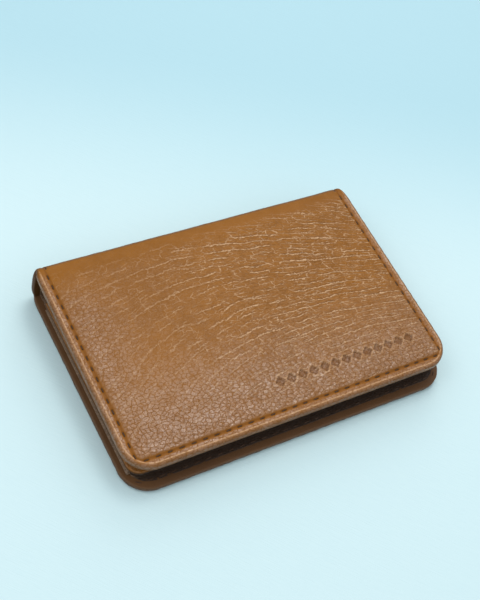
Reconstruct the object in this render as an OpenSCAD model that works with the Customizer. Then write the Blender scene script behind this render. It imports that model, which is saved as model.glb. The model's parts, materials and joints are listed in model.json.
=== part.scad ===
// Bifold leather card case. A padded cover folds at two creases along the spine,
// closes over a gusseted card pocket, and carries two stepped card slots in its flap.
// Frame: X along the spine, +Y towards the spine, +Z up. The closed case lies on z = 0,
// and its origin is the middle of the underside.

/* [Case] */
// Width of the case, along the spine
case_w = 105; // [95:1:126]
// Depth of the closed case, from the opening edge to the back of the spine
case_d = 71; // [58:1:86]
// Slope of the closed flap, down towards its front edge, in degrees
flap_slope = 2.5; // [1.5:0.25:4]
// How far the flap stops short of the lower panel's front edge
flap_setback = 2; // [0:0.25:3]
// Radius of the rounded front corners
corner_r = 8.5; // [7:0.5:11]

/* [Cover layers] */
// Thickness of the cover hide
hide_t = 1; // [0.8:0.1:1.4]
// Thickness of the wadding under the hide
wadding_t = 0.3; // [0.2:0.05:0.6]
// Thickness of the stiffening board
board_t = 0.6; // [0.4:0.1:1]
// Thickness of the lining
lining_t = 0.5; // [0.3:0.1:0.8]
// Width of the turned-in edge of the hide
turned_w = 2; // [1.5:0.25:3]
// Roundness of the cover's edges, as a share of half its thickness
edge_round = 1.25; // [1.15:0.05:1.5]
// Running clearance around each crease
crease_gap = 0.05; // [0.03:0.01:0.1]

/* [Pocket] */
// Inner height of the closed pocket
pocket_h = 2.4; // [1.6:0.1:3.2]
// Thickness of the pocket's hide
pocket_hide_t = 0.8; // [0.6:0.1:1.2]
// Thickness of the pocket's lining
pocket_lining_t = 0.4; // [0.3:0.05:0.6]
// Free space between the closed pocket and the flap's card slots, at the front
closed_gap = 1.2; // [0.8:0.1:2]
// From the lower panel's front edge to the pocket's front edge
pocket_setback = 3.8; // [3.6:0.2:6]
// From the lower panel's side edges to the pocket's side edges
pocket_side = 1.2; // [0.8:0.1:3]
// From the inner face of the spine to the pocket's mouth
mouth_gap = 5.5; // [4.5:0.5:12]
// Radius of the pocket's front corners
pocket_corner_r = 4; // [2:0.5:6]
// Thickness of the gusset leather
gusset_t = 0.4; // [0.3:0.05:0.5]
// How far each gusset folds in between the panels
gusset_fold = 9; // [6:0.5:12]

/* [Card slots] */
// Thickness of each slot's leather
slot_hide_t = 0.5; // [0.4:0.05:0.8]
// Thickness of each slot's fabric backing
slot_backing_t = 0.2; // [0.15:0.05:0.3]
// From the flap's crease to the mouth of the first slot
slot_start = 26; // [20:1:32]
// Step between the mouths of the slots
slot_step = 12; // [8:1:15]
// From the flap's edges to the edges of the slots
slot_inset = 1.4; // [1:0.1:2]

/* [Stitching] */
// From the cover's edge to its line of stitches
stitch_inset = 2.8; // [2.4:0.1:3.4]
// Radius of the stitch line at the front corners
stitch_corner_r = 2; // [1.5:0.25:4]
// Length of one stitch
stitch_len = 2.1; // [1.5:0.1:3]
// Pitch of the stitches
stitch_pitch = 3.5; // [3:0.1:5]
// Width of the thread
thread_w = 0.6; // [0.4:0.05:0.8]
// Thickness of the thread as it lies in its groove
thread_t = 0.3; // [0.2:0.05:0.4]
// Width of the groove that the stitches lie in
groove_w = 1; // [0.9:0.1:1.4]
// Depth of that groove
groove_depth = 0.35; // [0.3:0.05:0.5]

/* [Tooled motif] */
// Number of lozenges pressed into the flap
motif_count = 13; // [5:2:15]
// Width of one lozenge, along the row
motif_w = 2.2; // [1:0.25:3]
// Pitch of the lozenges
motif_pitch = 3.7; // [3.5:0.1:4.5]
// Depth of the pressing
motif_depth = 0.2; // [0.1:0.05:0.3]
// From the flap's right edge to the end of the row
motif_side = 9; // [8:0.5:20]
// From the flap's front edge to the middle of the row
motif_front = 11; // [8:0.5:20]

/* [Hidden] */

tan_hide = "#9a6632";
dark_thread = "#4a2c16";
tan_lining = "#8a5f38";
grey_board = "#a8a196";
pale_wadding = "#e6e0d2";
brown_fabric = "#5c4632";

round_fn = 64;
eps = 0.01;

// Layers of the cover, and the creases at half its thickness from the outer faces
filling_t = wadding_t + board_t + lining_t;
panel_t = hide_t + filling_t;
crease_r = panel_t / 2;
edge_r = crease_r * edge_round;
crease_y = case_d / 2 - crease_r;
crease_land = 0.8;                       // hide left standing beside each crease
spine_cut_gap = crease_gap + 0.03;       // room for the flat of the spine beside a panel

// Heights in the closed stack
pocket_t = pocket_hide_t + pocket_lining_t;
slot_t = slot_hide_t + slot_backing_t;
pocket_floor_z = panel_t;
pocket_under_z = pocket_floor_z + pocket_h;
front_h = pocket_under_z + pocket_t + closed_gap + 2 * slot_t + panel_t;

// Lower panel and flap, each measured from its own crease to its front edge
back_len = case_d - crease_r;
flap_len = (case_d - crease_r - flap_setback) / cos(flap_slope);
upper_z = front_h - crease_r + flap_len * sin(flap_slope);

// Pocket, hinged along its front edge at the middle of its own thickness
pocket_r = pocket_t / 2;
pocket_front_y = -case_d / 2 + pocket_setback;
pocket_axis_y = pocket_front_y + pocket_r;
pocket_axis_z = pocket_under_z + pocket_r;
pocket_mouth_y = case_d / 2 - panel_t - mouth_gap;
pocket_hw = case_w / 2 - pocket_side;
gusset_gap = 0.05;                       // air between a gusset and what it lies against
roll_back = 1;                           // how far the pocket's bottom runs on behind its round front

// Plan of a panel whose crease is the X axis and whose front is at y = -len. The outline
// is drawn in by inset, has front corners of radius r, and stops at y = -back.
module plan(len, inset, r, back) {
    hw = case_w / 2 - inset;
    front = -len + inset;
    translate([-hw, front + r]) square([2 * hw, -back - front - r]);
    translate([-hw + r, front]) square([2 * (hw - r), r + eps]);
    for (side = [-1, 1]) translate([side * (hw - r), front + r]) circle(r, $fn = round_fn);
}

// Section of a rounded edge, from the corner's centre out to the edge
module edge_section() {
    intersection() {
        translate([0, -crease_r]) square([corner_r, panel_t]);
        union() {
            translate([0, -crease_r]) square([corner_r - edge_r, panel_t]);
            translate([corner_r - edge_r, 0]) circle(edge_r, $fn = round_fn);
        }
    }
}

// Blank of a cover panel, with its crease on the X axis and rounded edges elsewhere
module blank(len) {
    hw = case_w / 2 - corner_r;
    side_len = len - corner_r;
    translate([-hw, -side_len, -crease_r]) cube([2 * hw, side_len, panel_t]);
    for (side = [0, 1]) mirror([side, 0, 0]) {
        translate([hw, 0, 0]) rotate([90, 0, 0]) linear_extrude(side_len) edge_section();
        translate([hw, -side_len, 0]) rotate([0, 0, -90])
            rotate_extrude(angle = 90, $fn = round_fn) edge_section();
    }
    translate([hw, -side_len, 0]) rotate([90, 0, -90]) linear_extrude(2 * hw) edge_section();
}

// Room for the spine at the crease. lean is the angle between the spine and the normal
// of the panel, and the panel's outer face is underneath.
module crease_cutter(lean) {
    rotate([0, 90, 0]) cylinder(r = crease_r + crease_gap, h = case_w + 2, center = true, $fn = round_fn);
    rotate([lean, 0, 0]) translate([-case_w / 2 - 1, -crease_r - spine_cut_gap, 0])
        cube([case_w + 2, 4 * crease_r, 4 * crease_r]);
}

// Groove for the stitches in the outer face, running out over the crease
module stitch_groove(len) {
    translate([0, 0, -crease_r - eps]) linear_extrude(groove_depth + eps) difference() {
        plan(len, stitch_inset - groove_w / 2, stitch_corner_r + groove_w / 2, -eps);
        plan(len, stitch_inset + groove_w / 2, stitch_corner_r - groove_w / 2, -2 * eps);
    }
}

// Layer of a cover panel's filling, between two heights above the outer face
module filling(len, low, high) {
    back = crease_r + crease_gap + crease_land;
    translate([0, 0, low - crease_r]) linear_extrude(high - low)
        plan(len, turned_w, corner_r - turned_w, back);
}

// Cover hide of one panel: outer face and turned-in edges
module cover_hide(len, lean) {
    difference() {
        blank(len);
        crease_cutter(lean);
        filling(len, hide_t, panel_t + eps);
        stitch_groove(len);
    }
}

// One stitch, lying along X with its underside at z = 0
module stitch(t) {
    run = stitch_len - thread_w;
    linear_extrude(t) {
        square([run, thread_w], center = true);
        for (end = [-1, 1]) translate([end * run / 2, 0]) circle(thread_w / 2, $fn = 24);
    }
}

// Sizes of the stitch line round a panel
stitch_back = crease_r + stitch_len;     // where the line starts beside the crease
stitch_hw = case_w / 2 - stitch_inset;
function stitch_side(len) = len - stitch_inset - stitch_corner_r - stitch_back;
stitch_arc = PI * stitch_corner_r / 2;
stitch_front = 2 * (stitch_hw - stitch_corner_r);
function stitch_total(len) = 2 * stitch_side(len) + 2 * stitch_arc + stitch_front;

// Place [x, y, heading] on the left half of the stitch line, at run s from the crease
function stitch_half(s, len) =
    let(side = stitch_side(len), turn = (s - side) / stitch_corner_r * 180 / PI)
    s < side ? [-stitch_hw, -stitch_back - s, -90]
    : turn < 90 ? [
        -stitch_hw + stitch_corner_r * (1 - cos(turn)),
        -stitch_back - side - stitch_corner_r * sin(turn),
        turn - 90
    ]
    : [-stitch_hw + stitch_corner_r + s - side - stitch_arc, -len + stitch_inset, 0];

// Place on the whole stitch line
function stitch_place(s, len) =
    let(total = stitch_total(len), at = stitch_half(min(s, total - s), len))
    s <= total / 2 ? at : [-at[0], at[1], -at[2]];

function stitch_count(len) = round(stitch_total(len) / stitch_pitch);
function stitch_places(len) =
    let(count = stitch_count(len), step = stitch_total(len) / count)
    [for (i = [0:count - 1]) stitch_place((i + 0.5) * step, len)];

// Stitches in the groove of a panel's outer face
module outer_stitches(len) {
    for (at = stitch_places(len))
        translate([at[0], at[1], groove_depth - crease_r - thread_t]) rotate(at[2]) stitch(thread_t);
}

// ---- Lower panel ----

module back_place() { translate([0, crease_y, crease_r]) children(); }

module back_hide() { color(tan_hide) back_place() cover_hide(back_len, 0); }

module back_wadding() {
    color(pale_wadding) back_place() filling(back_len, hide_t, hide_t + wadding_t);
}

module back_board() {
    color(grey_board) back_place() filling(back_len, hide_t + wadding_t, panel_t - lining_t);
}

module back_lining() {
    color(tan_lining) back_place() filling(back_len, panel_t - lining_t, panel_t);
}

// Stitches under the panel, and those that show in front of the pocket
module back_stitching() {
    shown_y = pocket_front_y - crease_y - thread_w;
    color(dark_thread) back_place() {
        outer_stitches(back_len);
        for (at = stitch_places(back_len)) if (at[1] < shown_y)
            translate([at[0], at[1], crease_r]) rotate(at[2]) stitch(thread_t);
    }
}

// ---- Gusseted pocket ----

// Rolled bottom of the pocket, which the pocket's front edge turns in
module pocket_bottom() {
    hw = pocket_hw - pocket_corner_r;
    roll_d = 2 * pocket_r + roll_back;
    roll_y = pocket_axis_y - pocket_r;
    rear_h = pocket_h - gusset_gap;
    front_rise = pocket_h + pocket_r;
    color(tan_hide) difference() {
        translate([-hw, roll_y, pocket_floor_z]) union() {
            cube([2 * hw, roll_d, rear_h]);
            cube([2 * hw, pocket_r, front_rise]);
        }
        translate([0, pocket_axis_y, pocket_axis_z]) rotate([0, 90, 0])
            cylinder(r = pocket_r + crease_gap, h = 2 * hw + 2, center = true, $fn = round_fn);
    }
}

// Leather strip folded inwards into a V between the panel and the pocket
module gusset() {
    low = pocket_floor_z + gusset_gap;
    high = pocket_under_z - gusset_gap;
    mid = (low + high) / 2;
    tip = gusset_t / 2;
    front = pocket_front_y + 2 * pocket_r + roll_back + gusset_gap;
    translate([0, pocket_mouth_y, 0]) rotate([90, 0, 0]) linear_extrude(pocket_mouth_y - front)
        polygon([
            [pocket_hw, low], [pocket_hw, low + gusset_t],
            [pocket_hw - gusset_fold + 2 * gusset_t, mid],
            [pocket_hw, high - gusset_t], [pocket_hw, high],
            [pocket_hw - gusset_fold + tip, mid + tip],
            [pocket_hw - gusset_fold, mid],
            [pocket_hw - gusset_fold + tip, mid - tip]
        ]);
}

module gusset_right() { color(tan_lining) gusset(); }
module gusset_left() { color(tan_lining) mirror([1, 0, 0]) gusset(); }

// Plan of the pocket's front panel, drawn in by inset
module pocket_plan(inset) {
    r = pocket_corner_r - inset / 2;
    hw = pocket_hw - inset;
    front = pocket_front_y + inset;
    back = pocket_mouth_y - inset;
    translate([-hw, front + r]) square([2 * hw, back - front - r]);
    translate([-hw + r, front]) square([2 * (hw - r), r + eps]);
    for (side = [-1, 1]) translate([side * (hw - r), front + r]) circle(r, $fn = round_fn);
}

module pocket_lining_blank(extra) {
    translate([0, 0, pocket_under_z - extra]) linear_extrude(pocket_lining_t + extra)
        pocket_plan(turned_w);
}

// Section of the pocket panel, with a round front end on its hinge axis
module pocket_section() {
    translate([pocket_axis_y, pocket_axis_z]) circle(pocket_r, $fn = round_fn);
    translate([pocket_axis_y, pocket_under_z]) square([pocket_mouth_y - pocket_axis_y, pocket_t]);
}

// Line that the pocket's stitches follow: up both sides and along the mouth
pocket_stitch_inset = 2.2;
pocket_stitch_start = 1;                 // from the front corner to the end of the groove
pocket_groove_depth = 0.25;
pocket_stitch_hw = pocket_hw - pocket_stitch_inset;
pocket_stitch_y = pocket_mouth_y - pocket_stitch_inset;
pocket_stitch_front = pocket_front_y + pocket_corner_r + pocket_stitch_start;

module pocket_groove() {
    side_len = pocket_stitch_y - pocket_stitch_front + groove_w / 2;
    translate([0, 0, pocket_under_z + pocket_t - pocket_groove_depth]) {
        for (side = [-1, 1])
            translate([side * pocket_stitch_hw - groove_w / 2, pocket_stitch_front, 0])
                cube([groove_w, side_len, 1]);
        translate([-pocket_stitch_hw, pocket_stitch_y - groove_w / 2, 0])
            cube([2 * pocket_stitch_hw, groove_w, 1]);
    }
}

module pocket_hide() {
    color(tan_hide) difference() {
        intersection() {
            translate([-pocket_hw, 0, 0]) rotate([90, 0, 90])
                linear_extrude(2 * pocket_hw) pocket_section();
            linear_extrude(2 * pocket_axis_z) pocket_plan(0);
        }
        pocket_lining_blank(eps);
        pocket_groove();
    }
}

module pocket_lining() { color(tan_lining) pocket_lining_blank(0); }

module pocket_stitching() {
    side_run = pocket_stitch_y - pocket_stitch_front - stitch_len;
    side_n = floor(side_run / stitch_pitch);
    mouth_run = 2 * pocket_stitch_hw;
    mouth_n = floor(mouth_run / stitch_pitch);
    color(dark_thread)
    translate([0, 0, pocket_under_z + pocket_t - pocket_groove_depth]) {
        for (side = [-1, 1], i = [0:side_n - 1])
            translate([side * pocket_stitch_hw, pocket_stitch_front + (i + 0.5) * side_run / side_n, 0])
                rotate(90) stitch(thread_t);
        for (i = [0:mouth_n - 1])
            translate([-pocket_stitch_hw + (i + 0.5) * mouth_run / mouth_n, pocket_stitch_y, 0])
                stitch(thread_t);
    }
}

// ---- Spine ----

// Inner face of the spine, and the hollow in its hide that takes the stay and the lining
spine_in_y = case_d / 2 - panel_t;
spine_fill_z = [2 * crease_r, upper_z - crease_r];

module spine_section() {
    for (z = [crease_r, upper_z]) translate([crease_y, z]) circle(crease_r, $fn = round_fn);
    translate([spine_in_y, crease_r]) square([panel_t, upper_z - crease_r]);
}

// Layer of the spine's filling, between two depths from the spine's inner face
module spine_layer(near, far) {
    hw = case_w / 2 - turned_w;
    translate([-hw, spine_in_y + near, spine_fill_z[0]])
        cube([2 * hw, far - near, spine_fill_z[1] - spine_fill_z[0]]);
}

module spine_hide() {
    color(tan_hide) difference() {
        translate([-case_w / 2, 0, 0]) rotate([90, 0, 90]) linear_extrude(case_w) spine_section();
        spine_layer(-eps, filling_t);
        for (side = [-1, 1])
            translate([side * stitch_hw - groove_w / 2, case_d / 2 - groove_depth, crease_r])
                cube([groove_w, 1, upper_z - crease_r]);
    }
}

module spine_stay() { color(grey_board) spine_layer(lining_t, filling_t); }
module spine_lining() { color(tan_lining) spine_layer(0, lining_t); }

module spine_stitching() {
    run = upper_z - crease_r;
    count = floor(run / stitch_pitch);
    color(dark_thread) for (side = [-1, 1], i = [0:count - 1])
        translate([side * stitch_hw, case_d / 2 - groove_depth, crease_r + (i + 0.5) * run / count])
            rotate([-90, 90, 0]) stitch(thread_t);
}

// ---- Flap ----

// Turns a panel with its outer face underneath into the closed flap
module flap_place() {
    translate([0, crease_y, upper_z]) rotate([flap_slope, 0, 0]) mirror([0, 0, 1]) children();
}

// Lozenges pressed into the flap's outer face
module motif() {
    last_x = case_w / 2 - motif_side - motif_w / 2;
    for (i = [0:motif_count - 1])
        translate([last_x - i * motif_pitch, -flap_len + motif_front, -crease_r - eps])
            rotate(45) translate([0, 0, motif_depth / 2])
                cube([motif_w, motif_w, motif_depth + 2 * eps], center = true);
}

module front_hide() {
    color(tan_hide) flap_place() difference() {
        cover_hide(flap_len, flap_slope);
        motif();
    }
}

module front_wadding() {
    color(pale_wadding) flap_place() filling(flap_len, hide_t, hide_t + wadding_t);
}

module front_board() {
    color(grey_board) flap_place() filling(flap_len, hide_t + wadding_t, panel_t - lining_t);
}

module front_lining() {
    color(tan_lining) flap_place() filling(flap_len, panel_t - lining_t, panel_t);
}

// Mouth of slot i, measured from the flap's crease
function slot_mouth(i) = slot_start + i * slot_step;

// Number of slot layers that the stitches pass over at a distance from the crease
function slots_over(run) = run < slot_mouth(0) ? 0 : run < slot_mouth(1) ? 1 : 2;

// Layer of slot i, between two heights above the face it is sewn to
module slot_layer(i, low, high) {
    translate([0, 0, crease_r + i * slot_t + low]) linear_extrude(high - low)
        plan(flap_len, slot_inset, corner_r - slot_inset, slot_mouth(i));
}

module first_slot_backing() { color(brown_fabric) flap_place() slot_layer(0, 0, slot_backing_t); }
module first_slot() { color(tan_hide) flap_place() slot_layer(0, slot_backing_t, slot_t); }
module second_slot_backing() { color(brown_fabric) flap_place() slot_layer(1, 0, slot_backing_t); }
module second_slot() { color(tan_hide) flap_place() slot_layer(1, slot_backing_t, slot_t); }

// Stitches on both faces. Inside, they lie on whatever layer is on top and skip its edges.
module front_stitching() {
    edge_room = stitch_len / 2 + 0.2;
    color(dark_thread) flap_place() {
        outer_stitches(flap_len);
        for (at = stitch_places(flap_len)) {
            over = slots_over(-at[1]);
            clear = abs(-at[1] - slot_mouth(0)) > edge_room && abs(-at[1] - slot_mouth(1)) > edge_room;
            if (clear) translate([at[0], at[1], crease_r + over * slot_t]) rotate(at[2]) stitch(thread_t);
        }
    }
}

back_hide();
back_wadding();
back_board();
back_lining();
back_stitching();
pocket_bottom();
gusset_left();
gusset_right();
pocket_hide();
pocket_lining();
pocket_stitching();
spine_hide();
spine_stay();
spine_lining();
spine_stitching();
front_hide();
front_wadding();
front_board();
front_lining();
front_stitching();
first_slot();
first_slot_backing();
second_slot();
second_slot_backing();
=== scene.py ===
"""Looks of a bifold leather card case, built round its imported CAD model.

Sizes here are in millimetres and angles in degrees, and meshes are scaled to metres as they
are made. A cover panel is described unrolled: x runs across it, v runs forward from where its
flat begins, and n stands out of its outer face."""

import json
import math

import bpy
import numpy as np
from mathutils import Matrix, Vector


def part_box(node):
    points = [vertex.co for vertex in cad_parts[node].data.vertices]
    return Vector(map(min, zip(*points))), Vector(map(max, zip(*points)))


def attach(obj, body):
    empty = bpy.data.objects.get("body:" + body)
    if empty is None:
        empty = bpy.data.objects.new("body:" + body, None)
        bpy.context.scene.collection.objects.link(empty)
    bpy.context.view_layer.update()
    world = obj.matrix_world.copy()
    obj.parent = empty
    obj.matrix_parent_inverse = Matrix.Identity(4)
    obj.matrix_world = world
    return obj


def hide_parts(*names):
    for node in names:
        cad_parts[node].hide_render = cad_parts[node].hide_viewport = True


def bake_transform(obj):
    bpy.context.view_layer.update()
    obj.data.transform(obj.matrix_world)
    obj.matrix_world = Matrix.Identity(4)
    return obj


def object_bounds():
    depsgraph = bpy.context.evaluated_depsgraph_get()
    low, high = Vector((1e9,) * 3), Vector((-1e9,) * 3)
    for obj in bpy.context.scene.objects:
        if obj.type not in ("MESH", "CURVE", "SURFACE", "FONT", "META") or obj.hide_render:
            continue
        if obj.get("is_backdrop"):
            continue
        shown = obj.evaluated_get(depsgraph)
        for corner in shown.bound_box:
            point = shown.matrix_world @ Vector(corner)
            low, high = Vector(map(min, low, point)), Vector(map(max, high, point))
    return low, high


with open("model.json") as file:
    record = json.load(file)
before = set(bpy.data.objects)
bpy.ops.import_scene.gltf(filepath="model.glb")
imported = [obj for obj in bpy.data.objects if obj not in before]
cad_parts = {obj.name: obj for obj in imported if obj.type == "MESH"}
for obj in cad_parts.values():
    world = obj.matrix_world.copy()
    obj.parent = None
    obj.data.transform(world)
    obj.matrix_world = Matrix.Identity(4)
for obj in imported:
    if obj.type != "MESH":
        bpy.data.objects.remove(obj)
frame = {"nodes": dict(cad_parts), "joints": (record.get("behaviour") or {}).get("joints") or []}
cad_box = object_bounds()

MM = 0.001
nodes = frame["nodes"]
joints = {joint["name"]: joint for joint in frame["joints"]}


def box_mm(node):
    """Lowest and highest corner of a CAD node, in millimetres."""
    low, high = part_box(node)
    return np.array(low) / MM, np.array(high) / MM


# ---- Sizes read from the frame ----

CASE_HW, BACK_Y, TOP_Z = np.array(cad_box[1]) / MM
MID_Z = TOP_Z / 2
CREASE_Y, LOWER_AXIS_Z = np.array(joints["spine_fold"]["pos_m"])[1:] / MM
UPPER_AXIS_Z = joints["flap_fold"]["pos_m"][2] / MM
PANEL_T = 2 * LOWER_AXIS_Z
FLAP_SLOPE = joints["flap_fold"]["range_deg"][1] - 90
POCKET_AXIS_Z = joints["pocket_yawn"]["pos_m"][2] / MM

# ---- Sizes of the leatherwork ----

FOLD_R = 2.5            # outer radius of the cover where it folds round the spine
EDGE_R = 1.1            # radius of the turned edge, outside
LIP_R = 0.4             # and inside
CORNER_R = 8.5          # radius of the front corners
STITCH_IN = 2.8         # stitch line, from the edge
STITCH_R = 2.0          # radius of the stitch line at the front corners
STITCH_LEN = 2.1
STITCH_PITCH = 3.5
THREAD_R = 0.17
GROOVE_DEPTH = 0.12
PIT_DEPTH = 0.34        # how deep each stitch pulls the leather in
SPINE_NIP = 0.7         # how much narrower the cover is where it folds, on each side
PUFF = 0.34             # how far the wadding lifts the leather inside the stitches

# Creases of the grain. share is how much of the leather has them, and width is that of the
# painted highlight line along each, which lies in a bump hollow with painted shade beside it.
CREASES = {
    "long_creases": {"spacing": 2.4, "length": 5.0, "share": 0.60, "depth": 0.075, "width": 0.27},
    "short_creases": {"spacing": 1.5, "length": 2.4, "share": 0.30, "depth": 0.035, "width": 0.17},
}
CREASE_HOLLOW = 0.33    # how far the hollow of a crease reaches on each side
CREASE_CROSSING = 0.06  # slope of the short creases across the long ones


# ---- Shader nodes as expressions ----

class Wire:
    """Output socket of a shader node. Arithmetic on it adds Math nodes."""

    def __init__(self, paint, socket):
        self.paint, self.socket = paint, socket

    def math(self, operation, *values):
        inputs = dict(enumerate(values))
        return self.paint.node("Math", {"operation": operation}, inputs)

    def __add__(self, other):
        return self.math("ADD", self, other)

    def __sub__(self, other):
        return self.math("SUBTRACT", self, other)

    def __rsub__(self, other):
        return self.math("SUBTRACT", other, self)

    def __mul__(self, other):
        return self.math("MULTIPLY", self, other)

    __radd__, __rmul__ = __add__, __mul__

    def sine(self):
        return self.math("SINE", self)

    def from_whole(self):
        """Distance to the nearest whole number."""
        return self.math("PINGPONG", self, 0.5)

    def ramp(self, low, high, start=0.0, end=1.0):
        """start below low, end above high, and smooth between them."""
        settings = {"interpolation_type": "SMOOTHSTEP"}
        return self.paint.node("MapRange", settings, {0: self, 1: low, 2: high, 3: start, 4: end})


class Paint:
    """A tree of shader nodes: the one given, or that of a new material."""

    def __init__(self, name=None, tree=None):
        if tree is None:
            self.material = bpy.data.materials.new(name)
            self.material.use_nodes = True
            tree = self.material.node_tree
            tree.nodes.clear()
        self.tree = tree

    def node(self, kind, settings=None, inputs=None, output=0):
        """Adds a node: its settings first, then the values or links of its sockets."""
        made = self.tree.nodes.new("ShaderNode" + kind)
        for name, value in (settings or {}).items():
            setattr(made, name, value)
        for name, value in (inputs or {}).items():
            socket = made.inputs[name]
            if isinstance(value, Wire):
                self.tree.links.new(value.socket, socket)
            else:
                socket.default_value = value
        return Wire(self, made.outputs[output]) if made.outputs else None

    def place(self, name):
        """Vector that the mesh carries. skin is the place on the unrolled piece, in millimetres."""
        return self.node("Attribute", {"attribute_name": name}, output="Vector")

    def mark(self, name):
        """Value of a mark that the mesh carries."""
        return self.node("Attribute", {"attribute_name": name}, output="Fac")

    def stretch(self, at, x, y, z=1.0, turn=0.0):
        """Vector scaled by x, y and z, after a turn in degrees about z."""
        angle = math.radians(turn)
        turned = self.node("VectorRotate", {"rotation_type": "Z_AXIS"}, {"Vector": at, "Angle": angle})
        return self.node("VectorMath", {"operation": "MULTIPLY"}, {0: turned, 1: (x, y, z)})

    def noise(self, at, scale, detail=2.0, roughness=0.5):
        """Smooth noise from 0 to 1."""
        inputs = {"Vector": at, "Scale": scale, "Detail": detail, "Roughness": roughness}
        return self.node("TexNoise", None, inputs)

    def borders(self, at, scale):
        """Distance to the nearest border of an irregular flat cell pattern."""
        settings = {"feature": "DISTANCE_TO_EDGE", "voronoi_dimensions": "2D"}
        return self.node("TexVoronoi", settings, {"Vector": at, "Scale": scale})

    def warped(self, at, reach, wave):
        """Vector pushed about by noise: how far in millimetres, over about what distance."""
        push = self.node("TexNoise", None, {"Vector": at, "Scale": 1 / wave, "Detail": 2.0}, output="Color")
        centred = self.node("VectorMath", {"operation": "SUBTRACT"}, {0: push, 1: (0.5, 0.5, 0.5)})
        settings = {"operation": "MULTIPLY_ADD"}
        return self.node("VectorMath", settings, {0: centred, 1: (4 * reach,) * 3, 2: at})

    def split(self, at):
        """The x and y of a vector."""
        outputs = self.node("SeparateXYZ", None, {0: at}).socket.node.outputs
        return Wire(self, outputs[0]), Wire(self, outputs[1])

    def mix(self, factor, first, second):
        """Colour between first and second."""
        return self.node("Mix", {"data_type": "RGBA"}, {0: factor, 6: first, 7: second}, output=2)

    def bump(self, height, distance):
        """Normal that makes height 1 stand out by a distance in millimetres."""
        return self.node("Bump", None, {"Height": height, "Distance": distance * MM, "Strength": 1.0})

    def finish(self, **inputs):
        """Adds the shader, with underscores in the names of its sockets for spaces."""
        named = {name.replace("_", " "): value for name, value in inputs.items()}
        shader = self.node("BsdfPrincipled", None, named)
        self.node("OutputMaterial", None, {"Surface": shader})
        return self.material


def rgb(red, green, blue):
    """Linear colour from 0 to 255 display values."""
    return tuple((value / 255) ** 2.2 for value in (red, green, blue)) + (1.0,)


# ---- Finishes ----

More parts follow.
